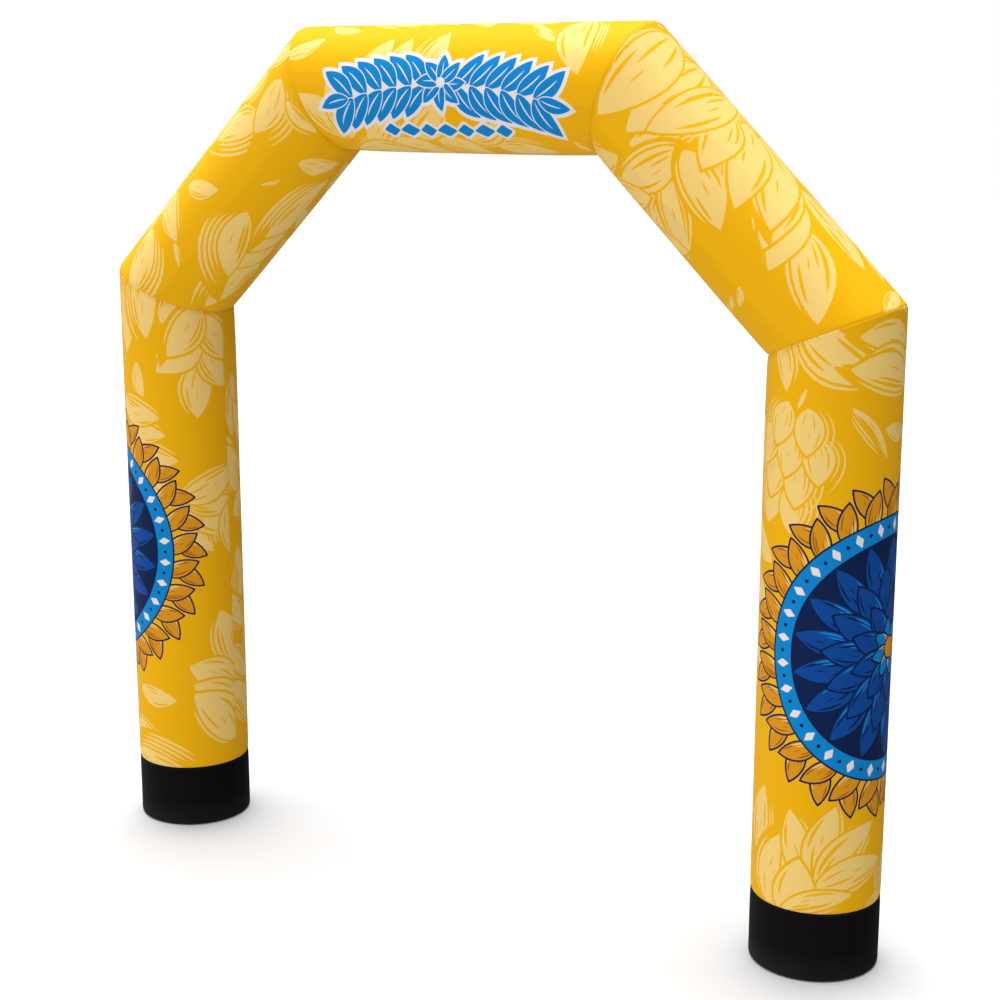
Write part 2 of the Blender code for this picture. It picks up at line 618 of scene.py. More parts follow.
class Artwork:
    """The shapes printed on one tube's pattern, the later ones over the earlier."""

    # The weight of a leaf's cuts, the gap round it and the length past which it is large
    CUT_WEIGHT = 0.044
    GAP = 0.014
    LARGE = 0.3
    MIDRIB = (Cut(0.06, 0.74, 0.0, 0.8),)
    # Light strokes: place across the leaf and share of a cut's weight, and their span
    LIGHTS = ((0.80, 0.9), (0.52, 0.6))
    LIGHT_START = 0.18
    LIGHT_END = 0.30
    LIGHT_GAIN = 0.45
    # Echo lines: distances from the leaf in metres, and spans as shares of its length
    BARE_MARGIN = 0.010
    ECHO_MARGIN = 0.006
    ECHO_START = 0.08
    ECHO_LATER = 0.07
    ECHO_CHANCE = 0.08
    # A garland's tip leaf, the bends of its leaves and their small differences
    TIP_SHARE = 0.86
    TIP_BEND = 0.03
    SPRIG_BEND = 0.07
    SPRIG_LOSS = 0.18
    TURN_CHANCE = 5
    SIZE_CHANCE = (0.93, 1.05)
    FAN_CHANCE = (0.92, 1.06)
    # A cone's scales: their bend, and the share of a leaf's gap round them. Then its stalk
    SCALE_BEND = 0.04
    SCALE_GAP = 0.8
    STALK_SHARE = 0.16
    STALK_WEIGHT = 0.026

    def __init__(self, seed: int) -> None:
        """Start a bare pattern, with a fixed seed for the small differences."""
        self.shapes: list[tuple[np.ndarray, Ink]] = []
        self.random = random.Random(seed)

    def add(self, outline: np.ndarray, ink: Ink) -> None:
        """Print one shape, with its outline turned anticlockwise.

        Args:
            outline: Its corners on the pattern, one a row.
            ink: Its ink.
        """
        ahead = np.roll(outline, -1, axis=0)
        area = float(np.sum(outline[:, 0] * ahead[:, 1] - ahead[:, 0] * outline[:, 1]))
        self.shapes.append((outline if area > 0 else outline[::-1], ink))

    def draw(self, motifs: Iterable[Motif]) -> None:
        """Print a table of motifs in its order.

        Args:
            motifs: The motifs.
        """
        printers = {Leaf: self.leaf, Fan: self.fan, Garland: self.garland, Cone: self.cone}
        for motif in motifs:
            printers[type(motif)](motif)

    def leaf(self, leaf: Leaf, gap: float = GAP) -> None:
        """Print a leaf: its echoes, the gap round it, its face and its cuts.

        Args:
            leaf: The leaf.
            gap: The width of bare ground round it.
        """
        inks = leaf.inks
        if inks.echo is not None and (leaf.echoes or leaf.length > self.LARGE):
            self._echoes(leaf, gap)
        for ink, grow in ((inks.gap, gap), (inks.face, 0.0)):
            self.add(leaf.outline(1, grow, grow), ink)
        flip = self.random.choice((1.0, -1.0))
        weight = self.CUT_WEIGHT * leaf.length
        for cut in self.MIDRIB if inks.midrib else self.random.choice(CUT_SETS):
            span = np.linspace(cut.start, cut.end, 6)
            self.add(stroke(leaf.line(span, cut.side * flip), weight * cut.weight), inks.cut)
        if inks.light is not None:
            for side, share in self.LIGHTS:
                span = np.linspace(self.LIGHT_START, self.LIGHT_END + self.LIGHT_GAIN * side, 6)
                self.add(stroke(leaf.line(span, -side), weight * share), inks.light)

    def _echoes(self, leaf: Leaf, gap: float) -> None:
        """Print the lines beside a leaf, and the bare ground behind chosen ones.

        Args:
            leaf: The leaf.
            gap: The width of bare ground round it.
        """
        flip = self.random.choice((1.0, -1.0))
        count = self.random.choice((1, 1, 2, 2, 3))
        form = CHANCE_ECHOES
        if leaf.echoes:
            flip, count = math.copysign(1.0, leaf.echoes), abs(leaf.echoes)
            form = CHOSEN_ECHOES
        if leaf.echoes and leaf.length > self.LARGE:
            bare = leaf.outline(flip, gap + self.BARE_MARGIN + form.step * count, gap)
            self.add(bare, leaf.inks.gap)
        for number in range(count):
            last = form.end + self.ECHO_CHANCE * self.random.uniform(-1.0, 1.0)
            span = np.linspace(self.ECHO_START + self.ECHO_LATER * number, last, 9)
            echo = leaf.line(span, flip, gap + self.ECHO_MARGIN + form.step * number)
            self.add(stroke(echo, form.weight * leaf.length), leaf.inks.echo)

    def garland(self, row: Garland) -> None:
        """Print a garland's leaves, from the one at its tip back to its start.

        Args:
            row: The garland.
        """
        start, middle, end = (flat(place) for place in (row.start, row.middle, row.end))
        control = 2 * middle - (start + end) / 2
        sides = row.sides.value
        run = end - control
        heading = math.degrees(math.atan2(run[0], run[1]))
        tip = Leaf(row.end, heading, row.length * self.TIP_SHARE, row.width, self.TIP_BEND)
        self.leaf(replace(tip, echoes=sides[0] * row.echoes))
        for number in range(row.leaves - 1, -1, -1):
            share = number / row.leaves
            place = (1 - share) ** 2 * start + 2 * share * (1 - share) * control + share**2 * end
            run = 2 * (1 - share) * (control - start) + 2 * share * (end - control)
            side = sides[number % len(sides)]
            turn = math.degrees(math.atan2(run[0], run[1]))
            turn += side * (row.spread + self.random.uniform(-self.TURN_CHANCE, self.TURN_CHANCE))
            size = row.length * (1.0 - self.SPRIG_LOSS * share)
            size *= self.random.uniform(*self.SIZE_CHANCE)
            leaf = Leaf(unflat(place), turn, size, row.width, -self.SPRIG_BEND * side)
            self.leaf(replace(leaf, echoes=side * row.echoes))

    def fan(self, row: Fan) -> None:
        """Print a fan's leaves, with small differences in their length.

        Args:
            row: The fan.
        """
        for heading in np.linspace(row.first, row.last, row.leaves):
            size = row.length * self.random.uniform(*self.FAN_CHANCE)
            self.leaf(Leaf(row.base, float(heading), size, row.width, echoes=row.echoes))

    def cone(self, row: Cone) -> None:
        """Print a cone's scales from its tip back to its stem.

        Args:
            row: The cone.
        """
        ahead, aside = compass(row.heading)
        stem = flat(row.stem)
        last = len(row.rows) - 1
        for number in range(last, -1, -1):
            count = row.rows[number]
            share = number / last
            down = row.length * row.reach * share
            for place in range(count):
                step = place - (count - 1) / 2
                base = stem + ahead * down + aside * step * row.width * row.apart
                outer = 0 if 0 < place < count - 1 else 2 * int(math.copysign(1.0, step))
                inks = PALE_LEAF if outer else PALE_SCALE
                size = row.length * (row.scale_length + row.scale_gain * share)
                turn = row.heading + step * (row.splay - row.splay_loss * share)
                bend = self.SCALE_BEND * step
                scale = Leaf(unflat(base), turn, size, row.scale_width, bend, inks, outer)
                self.leaf(scale, self.GAP * self.SCALE_GAP)
        twig = stem - ahead * self.STALK_SHARE * row.length + aside * 0.03
        stalk = np.linspace(stem + ahead * 0.02, twig, 5)
        self.add(stroke(stalk, self.STALK_WEIGHT), Ink.PALE)

    def disc(self, centre: np.ndarray, radius: float, ink: Ink) -> None:
        """Print a round patch."""
        turn = np.linspace(0.0, 2 * math.pi, 73)[:-1]
        self.add(centre + radius * paired(np.cos(turn), np.sin(turn)), ink)

    def lozenge(self, centre: np.ndarray, half: Pair, turn: float, ink: Ink) -> None:
        """Print a lozenge with hollow sides.

        Args:
            centre: Its middle on the pattern.
            half: Half its length and half its width.
            turn: The heading of its length, in degrees.
            ink: Its ink.
        """
        ahead, aside = compass(turn)
        angle = np.linspace(0.0, 2 * math.pi, 17)[:-1]
        long = np.cos(angle) ** 3 * 0.5 + np.cos(angle) * 0.5
        wide = np.sin(angle) ** 3 * 0.5 + np.sin(angle) * 0.5
        self.add(centre + np.outer(long * half[0], ahead) + np.outer(wide * half[1], aside), ink)


# Motif tables of the ground print, a row for each motif

LEG_LEFT_PRINT = (
    Fan((85, 3.15), 210, 195, 2, 0.50, 0.38, 1),
    Leaf((95, 3.20), 180, 0.45, 0.42, 0.04, echoes=2),
    Leaf((135, 3.05), 215, 0.25, 0.50),
    Leaf((80, 2.60), 170, 0.25, 0.40),
    Leaf((155, 3.05), 140, 0.35),
    Garland((152, 2.95), (152, 2.80), (150, 2.60), 4, 0.40, 0.54, 42, echoes=1),
    Leaf((-165, 2.50), 185, 0.40, 0.30),
    Leaf((-170, 2.05), 290, 0.25, 0.30),
    Garland((50, 2.35), (70, 2.15), (90, 1.95), 3, 0.34, 0.42, 45, Sides.LEFT, 1),
    Fan((125, 1.75), 150, 65, 4, 0.42, 0.38, -1),
    Leaf((178, 1.70), 175, 0.35),
    Garland((182, 0.15), (184, 0.40), (178, 0.65), 3, 0.44, 0.58, 50, Sides.LEFT, 1),
    Leaf((65, 0.50), 100, 0.30, 0.44),
    Leaf((50, 0.25), 105, 0.25, 0.50, echoes=-1),
    Leaf((50, 0.05), 100, 0.45, 0.44, echoes=-4),
    Garland((-40, 3.16), (-62, 2.84), (-60, 2.50), 5, 0.42, 0.46, 38),
    Cone((-104, 2.98), 190, 0.52, 0.40),
    Leaf((-136, 2.60), 160, 0.22, 0.40),
    Leaf((-16, 2.66), 200, 0.24, 0.40),
    Garland((-10, -0.04), (-44, 0.16), (-86, 0.20), 5, 0.38, 0.46, 40),
    Garland((-146, 0.10), (-150, 0.52), (-160, 1.06), 6, 0.40, 0.44, 40),
    Garland((-172, 1.60), (-150, 1.96), (-128, 2.30), 5, 0.36, 0.46, 40),
)
LEG_RIGHT_PRINT = (
    Leaf((105, 3.15), 235, 0.55, 0.44, -0.08, echoes=-1),
    Garland((-15, 2.80), (-12, 2.95), (-5, 3.15), 3, 0.44, 0.42, 75, Sides.RIGHT, 1),
    Leaf((55, 2.70), 220, 0.35, 0.16),
    Leaf((-10, 2.55), 80, 0.20, 0.50),
    Leaf((125, 3.05), 195, 0.30, echoes=1),
    Cone((100, 2.70), 170, 0.60, 0.46),
    Leaf((150, 2.60), 160, 0.35),
    Leaf((130, 0.25), 355, 0.40),
    Leaf((115, 0.00), 350, 0.42, 0.44, echoes=1),
    Fan((60, 0.30), 350, 305, 2, 0.32, 0.30),
    Fan((70, 0.15), 380, 285, 4, 0.46, 0.38, -1),
    Leaf((85, -0.10), 0, 0.40, 0.60),
    Leaf((100, 0.00), 285, 0.40, 0.28),
    Leaf((25, -0.05), 295, 0.25, 0.36),
    Leaf((175, 0.10), 345, 0.50),
    Garland((172, 2.10), (170, 1.70), (176, 1.20), 6, 0.38, 0.44, 40),
    Garland((-30, 3.14), (-56, 2.84), (-60, 2.46), 5, 0.42, 0.46, 38),
    Cone((-124, 2.92), 176, 0.52, 0.40),
    Leaf((-92, 2.74), 190, 0.24, 0.40),
    Garland((-14, -0.04), (-48, 0.16), (-90, 0.18), 5, 0.38, 0.46, 40),
    Garland((-140, 0.06), (-150, 0.50), (-164, 1.00), 6, 0.40, 0.44, 40),
    Leaf((-160, 2.20), 12, 0.24, 0.40),
)
DIAGONAL_LEFT_PRINT = (
    Garland((50, 1.90), (40, 1.60), (35, 1.25), 2, 0.38, 0.42, 8, Sides.RIGHT),
    Leaf((80, 1.40), 210, 0.42, 0.50, 0.08, echoes=-3),
    Leaf((70, 1.65), 165, 0.35, 0.56, -0.06, echoes=-3),
    Leaf((90, 1.60), 95, 0.25, 0.30, echoes=1),
    Leaf((135, 1.35), 70, 0.25, 0.50),
    Leaf((55, 0.70), 50, 0.28, 0.42),
    Leaf((80, 0.55), 145, 0.28, 0.20),
    Leaf((120, 1.10), 35, 0.12, 0.22),
    Garland((178, 1.30), (184, 0.98), (174, 0.62), 3, 0.54, 0.38, 34, Sides.RIGHT, 3),
    Leaf((125, 0.90), 160, 0.48, 0.36, echoes=4),
    Fan((35, 0.55), 160, 110, 2, 0.38, 0.42, -1),
    Leaf((50, 0.30), 150, 0.42, 0.50, -0.04, echoes=-3),
    Garland((-10, 1.70), (-26, 1.20), (-12, 0.60), 7, 0.42, 0.46, 38),
    Garland((-84, 1.74), (-70, 1.30), (-86, 0.86), 6, 0.40, 0.46, 40),
    Cone((-96, 0.62), 176, 0.52, 0.40),
    Garland((-156, 0.06), (-138, 0.58), (-152, 1.10), 7, 0.42, 0.46, 38),
    Leaf((-46, 0.44), 160, 0.24, 0.40),
)
DIAGONAL_RIGHT_PRINT = (
    Fan((0, 1.30), 350, 370, 3, 0.54, 0.28),
    Leaf((40, 1.20), 65, 0.42, 0.42),
    Garland((-5, 1.70), (-10, 1.48), (-12, 1.25), 2, 0.68, 0.44, 92, Sides.LEFT, 1),
    Leaf((5, 0.65), 175, 0.54, 0.32),
    Garland((-5, 1.00), (8, 0.75), (35, 0.45), 3, 0.58, 0.44, 32, Sides.LEFT, 1),
    Fan((95, 1.10), 100, 140, 2, 0.45, 0.40, -1),
    Fan((70, 1.15), 70, 165, 2, 0.48, 0.44, -1),
    Leaf((0, 1.10), 130, 0.55, 0.42),
    Leaf((10, 1.20), 118, 0.40, 0.56),
    Leaf((-15, 1.25), 80, 0.60),
    Leaf((110, 0.45), 125, 0.12),
    Leaf((125, 0.45), 105, 0.12, 0.30),
    Leaf((140, 0.45), 110, 0.12, 0.34),
    Leaf((30, -0.15), 290, 0.25, 0.36),
    Garland((172, 1.60), (160, 1.20), (168, 0.70), 6, 0.38, 0.46, 40),
    Garland((-50, 1.76), (-68, 1.20), (-50, 0.56), 7, 0.42, 0.46, 38),
    Cone((-100, 1.46), 186, 0.54, 0.42),
    Garland((-136, 0.14), (-112, 0.40), (-84, 0.60), 5, 0.36, 0.46, 40),
    Leaf((-14, 0.24), 160, 0.24, 0.36),
    Leaf((-150, 1.30), 170, 0.26, 0.40),
)
BEAM_PRINT = (
    Garland((160, 0.28), (140, 0.70), (148, 1.22), 6, 0.40, 0.44, 36),
    Fan((140, 0.30), 225, 260, 2, 0.40, 0.46),
    Garland((104, 0.35), (98, 0.65), (84, 1.05), 3, 0.46, 0.42, 55, Sides.LEFT),
    Leaf((15, 1.40), 40, 0.30, 0.24),
    Leaf((5, 1.70), 80, 0.45, 0.48),
    Leaf((60, -0.10), 330, 0.26, 0.42),
    Leaf((140, 1.70), 60, 0.12, 0.30),
    Leaf((15, 0.10), 20, 0.24),
    Garland((-10, 0.30), (-22, 0.74), (-8, 1.20), 6, 0.40, 0.44, 38),
    Leaf((-30, 1.56), 60, 0.26, 0.42),
    Garland((-64, 1.86), (-76, 1.40), (-60, 0.92), 6, 0.40, 0.46, 38),
    Cone((-84, 0.66), 262, 0.50, 0.40),
    Garland((-118, 0.80), (-134, 1.20), (-118, 1.64), 6, 0.38, 0.46, 38),
    Leaf((-140, 0.56), 300, 0.26, 0.42),
    Leaf((-160, 1.56), 20, 0.26, 0.42),
)


@dataclass(frozen=True)
class PetalRing:
    """A ring of petals or leaves round a rosette's middle."""

    count: int
    start: float
    length: float
    width: float
    inks: LeafInks
    lean: float = 0.0
    first: float = 0.0


@dataclass(frozen=True)
class Rosette:
    """The large folk rosette on the outer side of each leg."""

    centre: Pair = (0.0, 1.42)
    edge: float = 0.010
    band: Pair = (0.605, 0.705)
    beads: int = 30
    bead: Pair = (0.036, 0.022)
    dot: Pair = (0.012, 0.012)
    heart: float = 0.055
    bend: float = 0.02

    WREATH = (
        PetalRing(30, 0.72, 0.22, 0.44, STRAW_LEAF, 34, 0.0),
        PetalRing(30, 0.66, 0.22, 0.44, STRAW_LEAF, -30, 6.0),
    )
    FLOWER = (
        PetalRing(18, 0.270, 0.320, 0.40, BLUE_PETAL),
        PetalRing(14, 0.150, 0.290, 0.46, BLUE_PETAL, 0.0, 10.0),
        PetalRing(10, 0.060, 0.230, 0.52, BLUE_PETAL),
        PetalRing(8, 0.010, 0.150, 0.56, SKY_PETAL, 0.0, 12.0),
    )

    def draw(self, art: Artwork) -> None:
        """Print the rosette from its wreath in to its heart.

        Args:
            art: The pattern's artwork.
        """
        centre = flat(self.centre)
        self._rings(art, self.WREATH)
        inner, outer = self.band
        art.disc(centre, outer + self.edge, Ink.NAVY)
        art.disc(centre, outer, Ink.SKY)
        art.disc(centre, inner, Ink.NAVY)
        for number in range(self.beads * 2):
            turn = 180.0 * number / self.beads
            place = centre + direction(turn) * (inner + outer) / 2
            if number % 2:
                art.lozenge(place, self.dot, turn, Ink.NAVY)
            else:
                art.lozenge(place, self.bead, turn, Ink.WHITE)
        self._rings(art, self.FLOWER)
        art.disc(centre, self.heart + self.edge, Ink.NAVY)
        art.disc(centre, self.heart, Ink.STRAW)

    def _rings(self, art: Artwork, rings: Iterable[PetalRing]) -> None:
        """Print rings of petals from the outermost in.

        Args:
            art: The pattern's artwork.
            rings: The rings.
        """
        centre = flat(self.centre)
        for ring in rings:
            for number in range(ring.count):
                turn = ring.first + 360.0 * number / ring.count
                place = centre + direction(turn) * ring.start
                heading, size = turn + ring.lean, ring.length
                petal = Leaf(unflat(place), heading, size, ring.width, self.bend, ring.inks)
                art.leaf(petal, self.edge)


@dataclass(frozen=True)
class Frieze:
    """Two sky-blue leafy branches on the beam's front, over a row of lozenges."""

    middle: float = 0.955
    reach: float = 0.60
    halo: float = 0.020
    edge: float = 0.006
    pairs: int = 6
    inner: float = 0.09
    shorter: float = 0.12
    angle: float = 87.0
    sink: float = 11.0
    sag: float = 4.0
    sag_gain: float = 10.0
    upper: Pair = (52, 0.235)
    lower: Pair = (-46, 0.225)
    lower_gain: float = 0.03
    leaf_width: float = 0.42
    tip_angle: float = 98.5
    tip_sag: float = 16
    tip_length: float = 0.19
    flower: Pair = (84.0, 0.955)
    petals: int = 8
    petal_length: float = 0.155
    petal_width: float = 0.46
    heart: float = 0.028
    row_angle: float = 128.5
    row_pitch: float = 0.118
    row_halves: Pair = (0.062, 0.050)
    row_half_width: float = 0.042

    def _leaves(self) -> list[Leaf]:
        """Return the leaves of both branches and the petals of the flower between them.

        Returns:
            The leaves, in the order of printing.
        """
        leaves = []
        for side in (1, -1):
            ahead = 90 - 90 * side
            for number in range(self.pairs):
                share = number / (self.pairs - 1)
                place = self.middle + side * (self.inner + (self.reach - self.shorter) * share)
                angle = self.angle + self.sink * share**2
                sag = self.sag + self.sag_gain * share
                for (turn, length), gain in ((self.upper, 0.0), (self.lower, self.lower_gain)):
                    heading = ahead + side * (sag - turn)
                    size = length + gain * share
                    leaves.append(Leaf((angle, place), heading, size, self.leaf_width))
            tip = (self.tip_angle, self.middle + side * self.reach)
            heading = ahead + side * self.tip_sag
            leaves.append(Leaf(tip, heading, self.tip_length, self.leaf_width))
        for turn in range(0, 360, 360 // self.petals):
            leaves.append(Leaf(self.flower, turn, self.petal_length, self.petal_width))
        return leaves

    def draw(self, art: Artwork) -> None:
        """Print the white edges of the branches, and then their leaves and lozenges.

        Args:
            art: The pattern's artwork.
        """
        plain = LeafInks(Ink.WHITE, Ink.WHITE, Ink.WHITE, None)
        leaves = self._leaves()
        for leaf in leaves:
            art.leaf(replace(leaf, inks=plain), self.halo)
        for leaf in leaves:
            art.leaf(replace(leaf, inks=FRIEZE_LEAF), self.edge)
        for ink, grow in ((Ink.WHITE, self.halo), (Ink.SKY, 0.0)):
            for number in range(-3, 4):
                centre = flat((self.row_angle, self.middle + self.row_pitch * number))
                half = (self.row_halves[number % 2] + grow, self.row_half_width + grow)
                art.lozenge(centre, half, 0.0, ink)
        art.disc(flat(self.flower), self.heart, Ink.WHITE)


# Cutting a pattern into faces


@dataclass
class Pattern:
    """A tube's flat cloth, cut into faces along every printed shape."""

    tube: Tube
    column: float = 0.022
    row: float = 0.045
    near_column: float = 0.011
    near_rows: tuple[float, ...] = (0.004, 0.009, 0.016, 0.026, 0.042, 0.065, 0.095, 0.135, 0.19)
    seam_columns: tuple[float, ...] = (0.003, 0.008)
    dense_reach: float = 0.07
    near_share: float = 0.35
    corner_margin: float = 1e-4
    least_step: float = 2e-5
    shapes: list[tuple[np.ndarray, Ink]] = field(default_factory=list)
    ground: Ink = Ink.GOLD

    def _rows(self, around: np.ndarray) -> np.ndarray:
        """Return the places of every row along the tube, for each column.

        Args:
            around: The columns' places round the tube.

        Returns:
            A line of places for each column.
        """
        low = self.tube.flat_end(0, around)
        high = self.tube.flat_end(1, around)
        near = min(self.near_rows[-1], float((high - low).min()) * self.near_share)
        steps = [step for step in self.near_rows if step < near * 0.95] + [near]
        inside = float((high - low).mean()) - 2 * near
        parts = max(1, math.ceil(inside / self.row))
        rows = [low + step for step in steps]
        for part in range(1, parts):
            rows.append((low + near) + (high - low - 2 * near) * part / parts)
        rows += [high - step for step in reversed(steps)]
        return np.stack(rows, axis=1)

    def _crossings(self) -> np.ndarray:
        """Return where printed outlines cross the long seam, along the tube.

        Returns:
            Places along the tube, in metres.
        """
        found = []
        for outline, _ in self.shapes:
            ahead = np.roll(outline, -1, axis=0)
            for edge in (HALF_ROUND, -HALF_ROUND):
                over = (outline[:, 0] - edge) * (ahead[:, 0] - edge) < 0
                here, there = outline[over], ahead[over]
                share = (edge - here[:, 0]) / (there[:, 0] - here[:, 0])
                found.append(here[:, 1] + share * (there[:, 1] - here[:, 1]))
        return np.concatenate(found) if found else np.zeros(0)

    def _edge(self) -> np.ndarray:
        """Return the pattern's own outline, anticlockwise.

        Returns:
            Its points, one a row.
        """
        columns = max(8, round(2 * HALF_ROUND / self.near_column))
        around = np.linspace(-HALF_ROUND, HALF_ROUND, columns + 1)
        low, high = (paired(around, self.tube.flat_end(end, around)) for end in (0, 1))
        side = np.array([HALF_ROUND])
        bottom, top = low[0, 1], high[0, 1]
        along = np.concatenate([self._rows(side)[0], self._crossings()])
        margin = self.corner_margin
        along = np.unique(along[(along > bottom + margin) & (along < top - margin)].round(6))
        along = along[np.concatenate([[True], np.diff(along) > self.least_step])]
        right = paired(np.full_like(along, HALF_ROUND), along)
        left = paired(np.full_like(along, -HALF_ROUND), along[::-1])
        return np.concatenate([low, right, high[::-1], left])

    def _grid(self) -> np.ndarray:
        """Return the points inside the pattern that round it off.

        Returns:
            Points, one a row.
        """
        columns = round(2 * HALF_ROUND / self.column)
        around = np.linspace(-HALF_ROUND, HALF_ROUND, columns + 1)[1:-1]
        steps = np.array(self.seam_columns)
        around = np.concatenate([around, HALF_ROUND - steps, steps - HALF_ROUND])
        rows = self._rows(around)
        full = [paired(np.repeat(around, rows.shape[1]), rows.ravel())]
        between = np.linspace(-HALF_ROUND, HALF_ROUND, columns + 1)
        between = (between[1:] + between[:-1]) / 2
        steps = len([step for step in self.near_rows if step < self.dense_reach])
        rows = self._rows(between)
        rows = np.concatenate([rows[:, :steps], rows[:, -steps:]], axis=1)
        full.append(paired(np.repeat(between, rows.shape[1]), rows.ravel()))
        return np.concatenate(full)

    def cut(self) -> tuple[np.ndarray, list[tuple[int, ...]], list[Ink]]:
        """Cut the pattern.

        Returns:
            The points on the pattern, the faces and the ink of each face.
        """
        edge = self._edge()
        loops = [edge] + [outline for outline, _ in self.shapes]
        inks = [self.ground] + [ink for _, ink in self.shapes]
        starts = np.cumsum([0] + [len(loop) for loop in loops])
        loops_faces = [
            list(range(start, start + len(loop)))
            for start, loop in zip(starts[:-1], loops, strict=True)
        ]
        points = np.concatenate(loops + [self._grid()])
        places = [Vector((float(x), float(y))) for x, y in points]
        found = delaunay_2d_cdt(places, [], loops_faces, 1, 1e-6, True)
        cut_points = np.array([tuple(place) for place in found[0]], dtype=float)
        faces, face_inks = [], []
        for face, origins in zip(found[2], found[5], strict=True):
            if 0 not in origins:
                continue
            faces.append(tuple(face))
            face_inks.append(inks[max(origins)])
        return cut_points, faces, face_inks


@dataclass
class Cloth:
    """A cut pattern with its two sides joined: points, faces and what each face wears."""

    points: np.ndarray
    faces: list[tuple[int, ...]] = field(default_factory=list)
    around: list[list[float]] = field(default_factory=list)
    inks: list[Ink] = field(default_factory=list)

    def rims(self) -> list[list[int]]:
        """Return the rings of points round the open ends, the lower end first.

        Returns:
            The indices of each ring's points, in order.
        """
        edges = [pair for face in self.faces for pair in zip(face, face[1:] + face[:1])]
        known = set(edges)
        ahead = {here: there for here, there in edges if (there, here) not in known}
        rings = []
        while ahead:
            first, here = ahead.popitem()
            ring = [first]
            while here != first:
                ring.append(here)
                here = ahead.pop(here)
            rings.append(ring)
        return sorted(rings, key=lambda ring: float(self.points[ring, 1].mean()))


ON_SEAM = 1e-5
SAME_PLACE = 3e-5


def weld_long_seam(points: np.ndarray, faces: list[tuple[int, ...]], inks: list[Ink]) -> Cloth:
    """Join the pattern's two sides, which meet when it is rolled up.

    Args:
        points: Points on the pattern.
        faces: Faces that index them.
        inks: The ink of each face.

    Returns:
        The joined cloth. Its faces' places round the tube still tell the two sides apart.
    """
    used = sorted({index for face in faces for index in face})
    target = {index: index for index in used}
    side = [index for index in used if abs(abs(points[index, 0]) - HALF_ROUND) < ON_SEAM]
    side.sort(key=lambda index: points[index, 1])
    first = side[0]
    for index in side:
        if points[index, 1] - points[first, 1] > SAME_PLACE:
            first = index
        target[index] = first
    kept = sorted(set(target.values()))
    number = {index: place for place, index in enumerate(kept)}
    cloth = Cloth(points[kept])
    for face, ink in zip(faces, inks, strict=True):
        joined = tuple(number[target[index]] for index in face)
        if len(set(joined)) == len(joined):
            cloth.faces.append(joined)
            cloth.around.append([float(points[index, 0]) for index in face])
            cloth.inks.append(ink)
    return cloth


# Node trees


class Value:
    """A node's output that takes part in Python arithmetic."""

    def __init__(self, nodes: Nodes, socket: bpy.types.NodeSocket) -> None:
        """Wrap an output of a tree's node."""
        self.nodes = nodes
        self.socket = socket

    def _math(self, operation: str, *values: Value | float) -> Value:
        """Add one Math node."""
        return self.nodes.node("ShaderNodeMath", {"operation": operation}, values)

    def __add__(self, other: Value | float) -> Value:
        """Return the sum."""
        return self._math("ADD", self, other)

    def __sub__(self, other: Value | float) -> Value:
        """Return the difference."""
        return self._math("SUBTRACT", self, other)

    def __rsub__(self, other: Value | float) -> Value:
        """Return the difference from a number."""
        return self._math("SUBTRACT", other, self)

    def __mul__(self, other: Value | float) -> Value:
        """Return the product."""
        return self._math("MULTIPLY", self, other)

    __radd__ = __add__
    __rmul__ = __mul__

    def sine(self) -> Value:
        """Return the sine."""
        return self._math("SINE", self)

    def within(self, low: float, high: float) -> Value:
        """Return how far the value lies from low to high, held between 0 and 1."""
        return self.nodes.node("ShaderNodeMapRange", {"clamp": True}, (self, low, high, 0.0, 1.0))

    def beside(self, output: str) -> Value:
        """Return another output of the same node."""
        return Value(self.nodes, self.socket.node.outputs[output])


class Nodes:
    """A node tree under construction."""

    def __init__(self, tree: bpy.types.NodeTree) -> None:
        """Wrap a tree."""
        self.tree = tree

    def node(
        self,
        kind: str,
        settings: dict[str, object] | None = None,
        values: Sequence[object] | dict[str | int, object] = (),
        output: int | str = 0,
    ) -> Value:
        """Add a node.

        Args:
            kind: The node's type.
            settings: Its settings, which are set first.
            values: What goes into its sockets, in order or by name.
            output: The output that is returned.

        Returns:
            The node's output.
        """
        made = self.tree.nodes.new(kind)
        for key, value in (settings or {}).items():
            setattr(made, key, value)
        named = values.items() if isinstance(values, dict) else enumerate(values)
        for key, value in named:
            self.feed(made.inputs[key], value)
        return Value(self, made.outputs[output])

    def feed(self, socket: bpy.types.NodeSocket, value: object) -> None:
        """Link a value to a socket, or set the socket to a constant.

        Args:
            socket: The socket.
            value: Another node's output, or a constant.
        """
        if isinstance(value, Value):
            self.tree.links.new(value.socket, socket)
        else:
            socket.default_value = value


